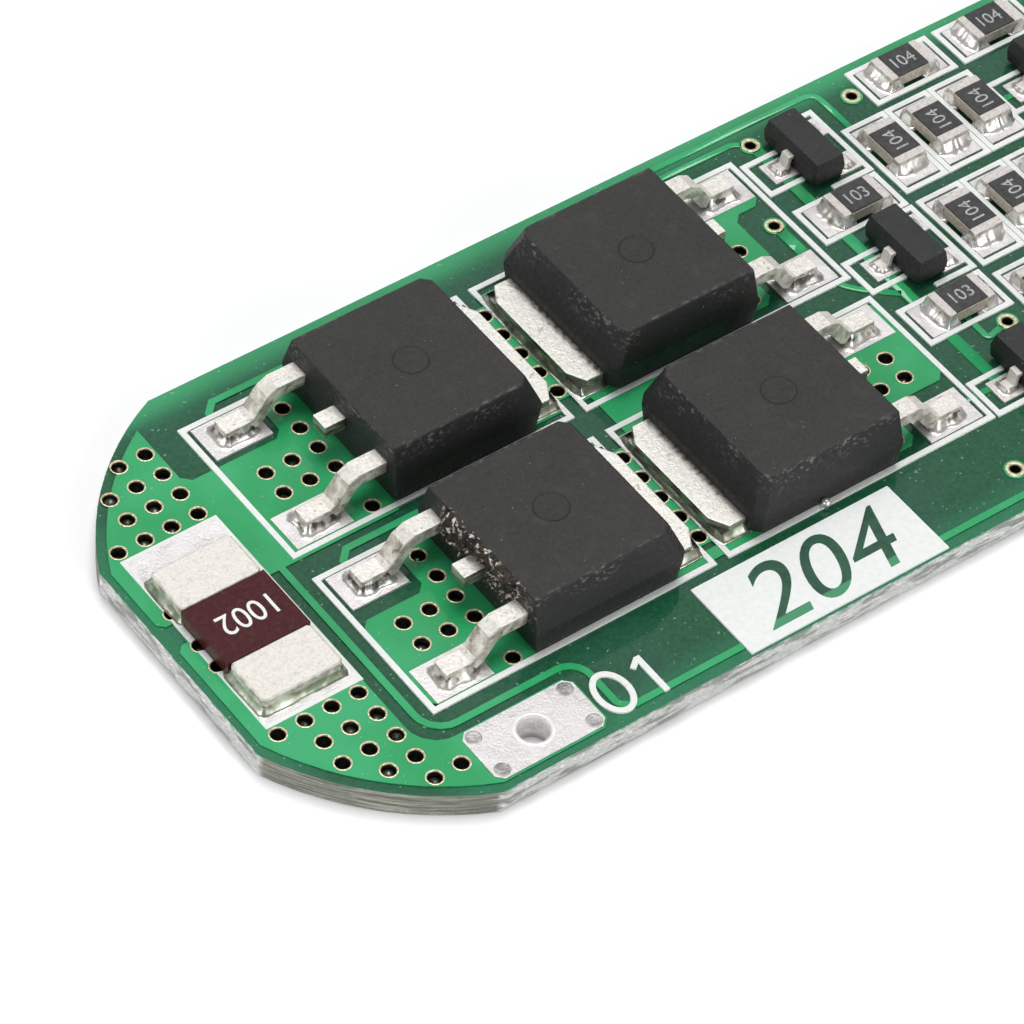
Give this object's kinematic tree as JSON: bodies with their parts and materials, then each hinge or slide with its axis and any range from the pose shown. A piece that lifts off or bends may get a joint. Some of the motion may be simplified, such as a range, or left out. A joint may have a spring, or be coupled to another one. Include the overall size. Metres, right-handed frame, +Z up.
{
  "type": "battery management board",
  "caption": "Narrow green circuit board with rounded ends that protects and balances a lithium pack: power transistors, current shunt, small parts and wire pads on top.",
  "frame": {"origin": "centre of the underside, on the surface the board lies on", "axes": "+X along the board, with the current shunt at the -X end; +Y across it, with the wire pads along the -Y edge; +Z up through the parts"},
  "size_m": [0.059, 0.0198, 0.0033],
  "materials": {
    "solder_mask": "glossy translucent green solder mask over copper and glass fibre laminate",
    "solder_coat": "bright solder coat, slightly uneven",
    "white_print": "matt white screen print with ragged edges",
    "mosfet_mould": "dark grey moulded epoxy with a fine matt grain",
    "small_mould": "black moulded epoxy, satin",
    "tinned_copper": "tin plated copper, satin",
    "matte_tin": "matt tin with a fine grain",
    "shunt_resin": "dark maroon resin, satin",
    "alumina": "white alumina ceramic",
    "black_glaze": "black glass glaze",
    "capacitor_ceramic": "tan barium titanate ceramic"
  },
  "bodies": {
    "root": {"circuit_board": "solder_mask", "solder_lands_top": "solder_coat", "solder_lands_bottom": "solder_coat", "legend_print": "white_print", "label_field": "white_print", "mosfet_1_body": "mosfet_mould", "mosfet_1_gate_lead": "tinned_copper", "mosfet_1_source_lead": "tinned_copper", "mosfet_1_tab": "tinned_copper", "mosfet_2_body": "mosfet_mould", "mosfet_2_gate_lead": "tinned_copper", "mosfet_2_source_lead": "tinned_copper", "mosfet_2_tab": "tinned_copper", "mosfet_3_body": "mosfet_mould", "mosfet_3_gate_lead": "tinned_copper", "mosfet_3_source_lead": "tinned_copper", "mosfet_3_tab": "tinned_copper", "mosfet_4_body": "mosfet_mould", "mosfet_4_gate_lead": "tinned_copper", "mosfet_4_source_lead": "tinned_copper", "mosfet_4_tab": "tinned_copper", "shunt_element": "shunt_resin", "shunt_terminals": "matte_tin", "gate_resistor_ceramics": "alumina", "balance_resistor_ceramics": "alumina", "sense_resistor_ceramics": "alumina", "gate_resistor_ends": "matte_tin", "balance_resistor_ends": "matte_tin", "sense_resistor_ends": "matte_tin", "gate_resistor_glazes": "black_glaze", "balance_resistor_glazes": "black_glaze", "sense_resistor_glazes": "black_glaze", "resistor_solder_fillets": "solder_coat", "filter_capacitor_bodies": "capacitor_ceramic", "filter_capacitor_ends": "matte_tin", "gate_driver_bodies": "small_mould", "gate_driver_leads": "tinned_copper", "balance_transistor_bodies": "small_mould", "balance_transistor_leads": "tinned_copper", "protection_circuit_leads": "tinned_copper", "protection_circuit_1": "small_mould", "protection_circuit_2": "small_mould", "protection_circuit_3": "small_mould"}
  },
  "joints": []
}
